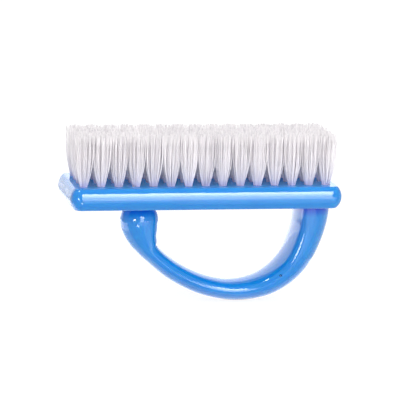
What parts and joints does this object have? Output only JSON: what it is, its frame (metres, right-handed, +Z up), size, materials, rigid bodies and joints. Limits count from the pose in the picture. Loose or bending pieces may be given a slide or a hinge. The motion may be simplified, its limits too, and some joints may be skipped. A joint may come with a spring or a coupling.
{
  "type": "nail brush",
  "caption": "Nail brush with a rounded flat back, a hooked finger handle ending in a round knob, and upright bristle tufts set in holes and held by flat wire anchors.",
  "frame": {"origin": "under the middle of the back, level with the handle's lowest point", "axes": "+X along the back towards the handle's root, +Y across the back, +Z up from the handle towards the bristle tips"},
  "size_m": [0.094, 0.0328, 0.0598],
  "materials": {
    "blue_plastic": "gloss",
    "white_bristle": "translucent satin",
    "anchor_wire": "satin"
  },
  "bodies": {
    "root": {"back_with_handle": "blue_plastic", "tuft_rank_01": "white_bristle", "tuft_rank_02": "white_bristle", "tuft_rank_03": "white_bristle", "tuft_rank_04": "white_bristle", "tuft_rank_05": "white_bristle", "tuft_rank_06": "white_bristle", "tuft_rank_07": "white_bristle", "tuft_rank_08": "white_bristle", "tuft_rank_09": "white_bristle", "tuft_rank_10": "white_bristle", "tuft_rank_11": "white_bristle", "tuft_rank_12": "white_bristle", "tuft_rank_13": "white_bristle", "tuft_rank_14": "white_bristle", "tuft_rank_15": "white_bristle", "anchor_rank_01": "anchor_wire", "anchor_rank_02": "anchor_wire", "anchor_rank_03": "anchor_wire", "anchor_rank_04": "anchor_wire", "anchor_rank_05": "anchor_wire", "anchor_rank_06": "anchor_wire", "anchor_rank_07": "anchor_wire", "anchor_rank_08": "anchor_wire", "anchor_rank_09": "anchor_wire", "anchor_rank_10": "anchor_wire", "anchor_rank_11": "anchor_wire", "anchor_rank_12": "anchor_wire", "anchor_rank_13": "anchor_wire", "anchor_rank_14": "anchor_wire", "anchor_rank_15": "anchor_wire"}
  },
  "joints": []
}
